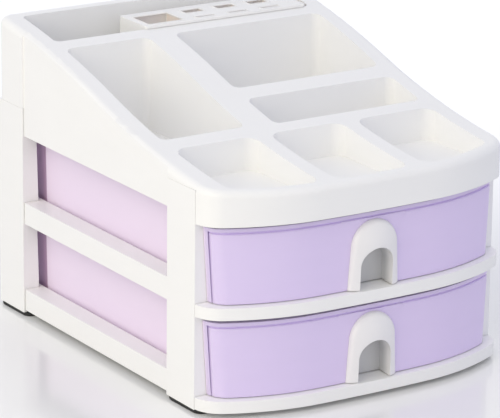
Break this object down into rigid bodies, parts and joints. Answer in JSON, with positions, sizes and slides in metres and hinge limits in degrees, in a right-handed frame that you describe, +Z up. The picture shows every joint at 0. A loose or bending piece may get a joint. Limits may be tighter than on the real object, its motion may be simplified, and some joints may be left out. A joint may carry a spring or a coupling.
{
  "type": "desk drawer organizer",
  "caption": "Desk organizer with a sloping tray of open compartments and a loose lipstick rack, above a stack of two bow-fronted drawers with hooded finger pulls.",
  "frame": {"origin": "middle of the footprint, on the surface that the feet stand on", "axes": "+Z up, -Y is the front where the drawers pull out, +X to the right of somebody facing the drawers"},
  "size_m": [0.2024, 0.256, 0.1791],
  "materials": {
    "white_plastic": "satin moulded white polypropylene",
    "lilac_plastic": "satin moulded lilac polypropylene",
    "pull_white": "smooth white",
    "rack_cream": "smooth warm white",
    "black_rubber": "matt"
  },
  "bodies": {
    "frame": {"top_tray": "white_plastic", "mid_shelf": "white_plastic", "base_shelf": "white_plastic", "post_front_left": "white_plastic", "post_front_right": "white_plastic", "post_rear_left": "white_plastic", "post_rear_right": "white_plastic", "foot_front_left": "black_rubber", "foot_front_right": "black_rubber", "foot_rear_left": "black_rubber", "foot_rear_right": "black_rubber"},
    "upper_drawer": {"upper_drawer": "lilac_plastic", "upper_pull": "pull_white"},
    "lower_drawer": {"lower_drawer": "lilac_plastic", "lower_pull": "pull_white"},
    "rack": {"lipstick_rack": "rack_cream"}
  },
  "joints": [
    {"name": "upper_drawer_slide", "type": "slide", "parent": "frame", "child": "upper_drawer", "axis": [0, -1, 0], "range_m": [0, 0.15]},
    {"name": "lower_drawer_slide", "type": "slide", "parent": "frame", "child": "lower_drawer", "axis": [0, -1, 0], "range_m": [0, 0.15]},
    {"name": "rack_lift", "type": "slide", "parent": "frame", "child": "rack", "axis": [0, 0, 1], "range_m": [0, 0.06]}
  ]
}
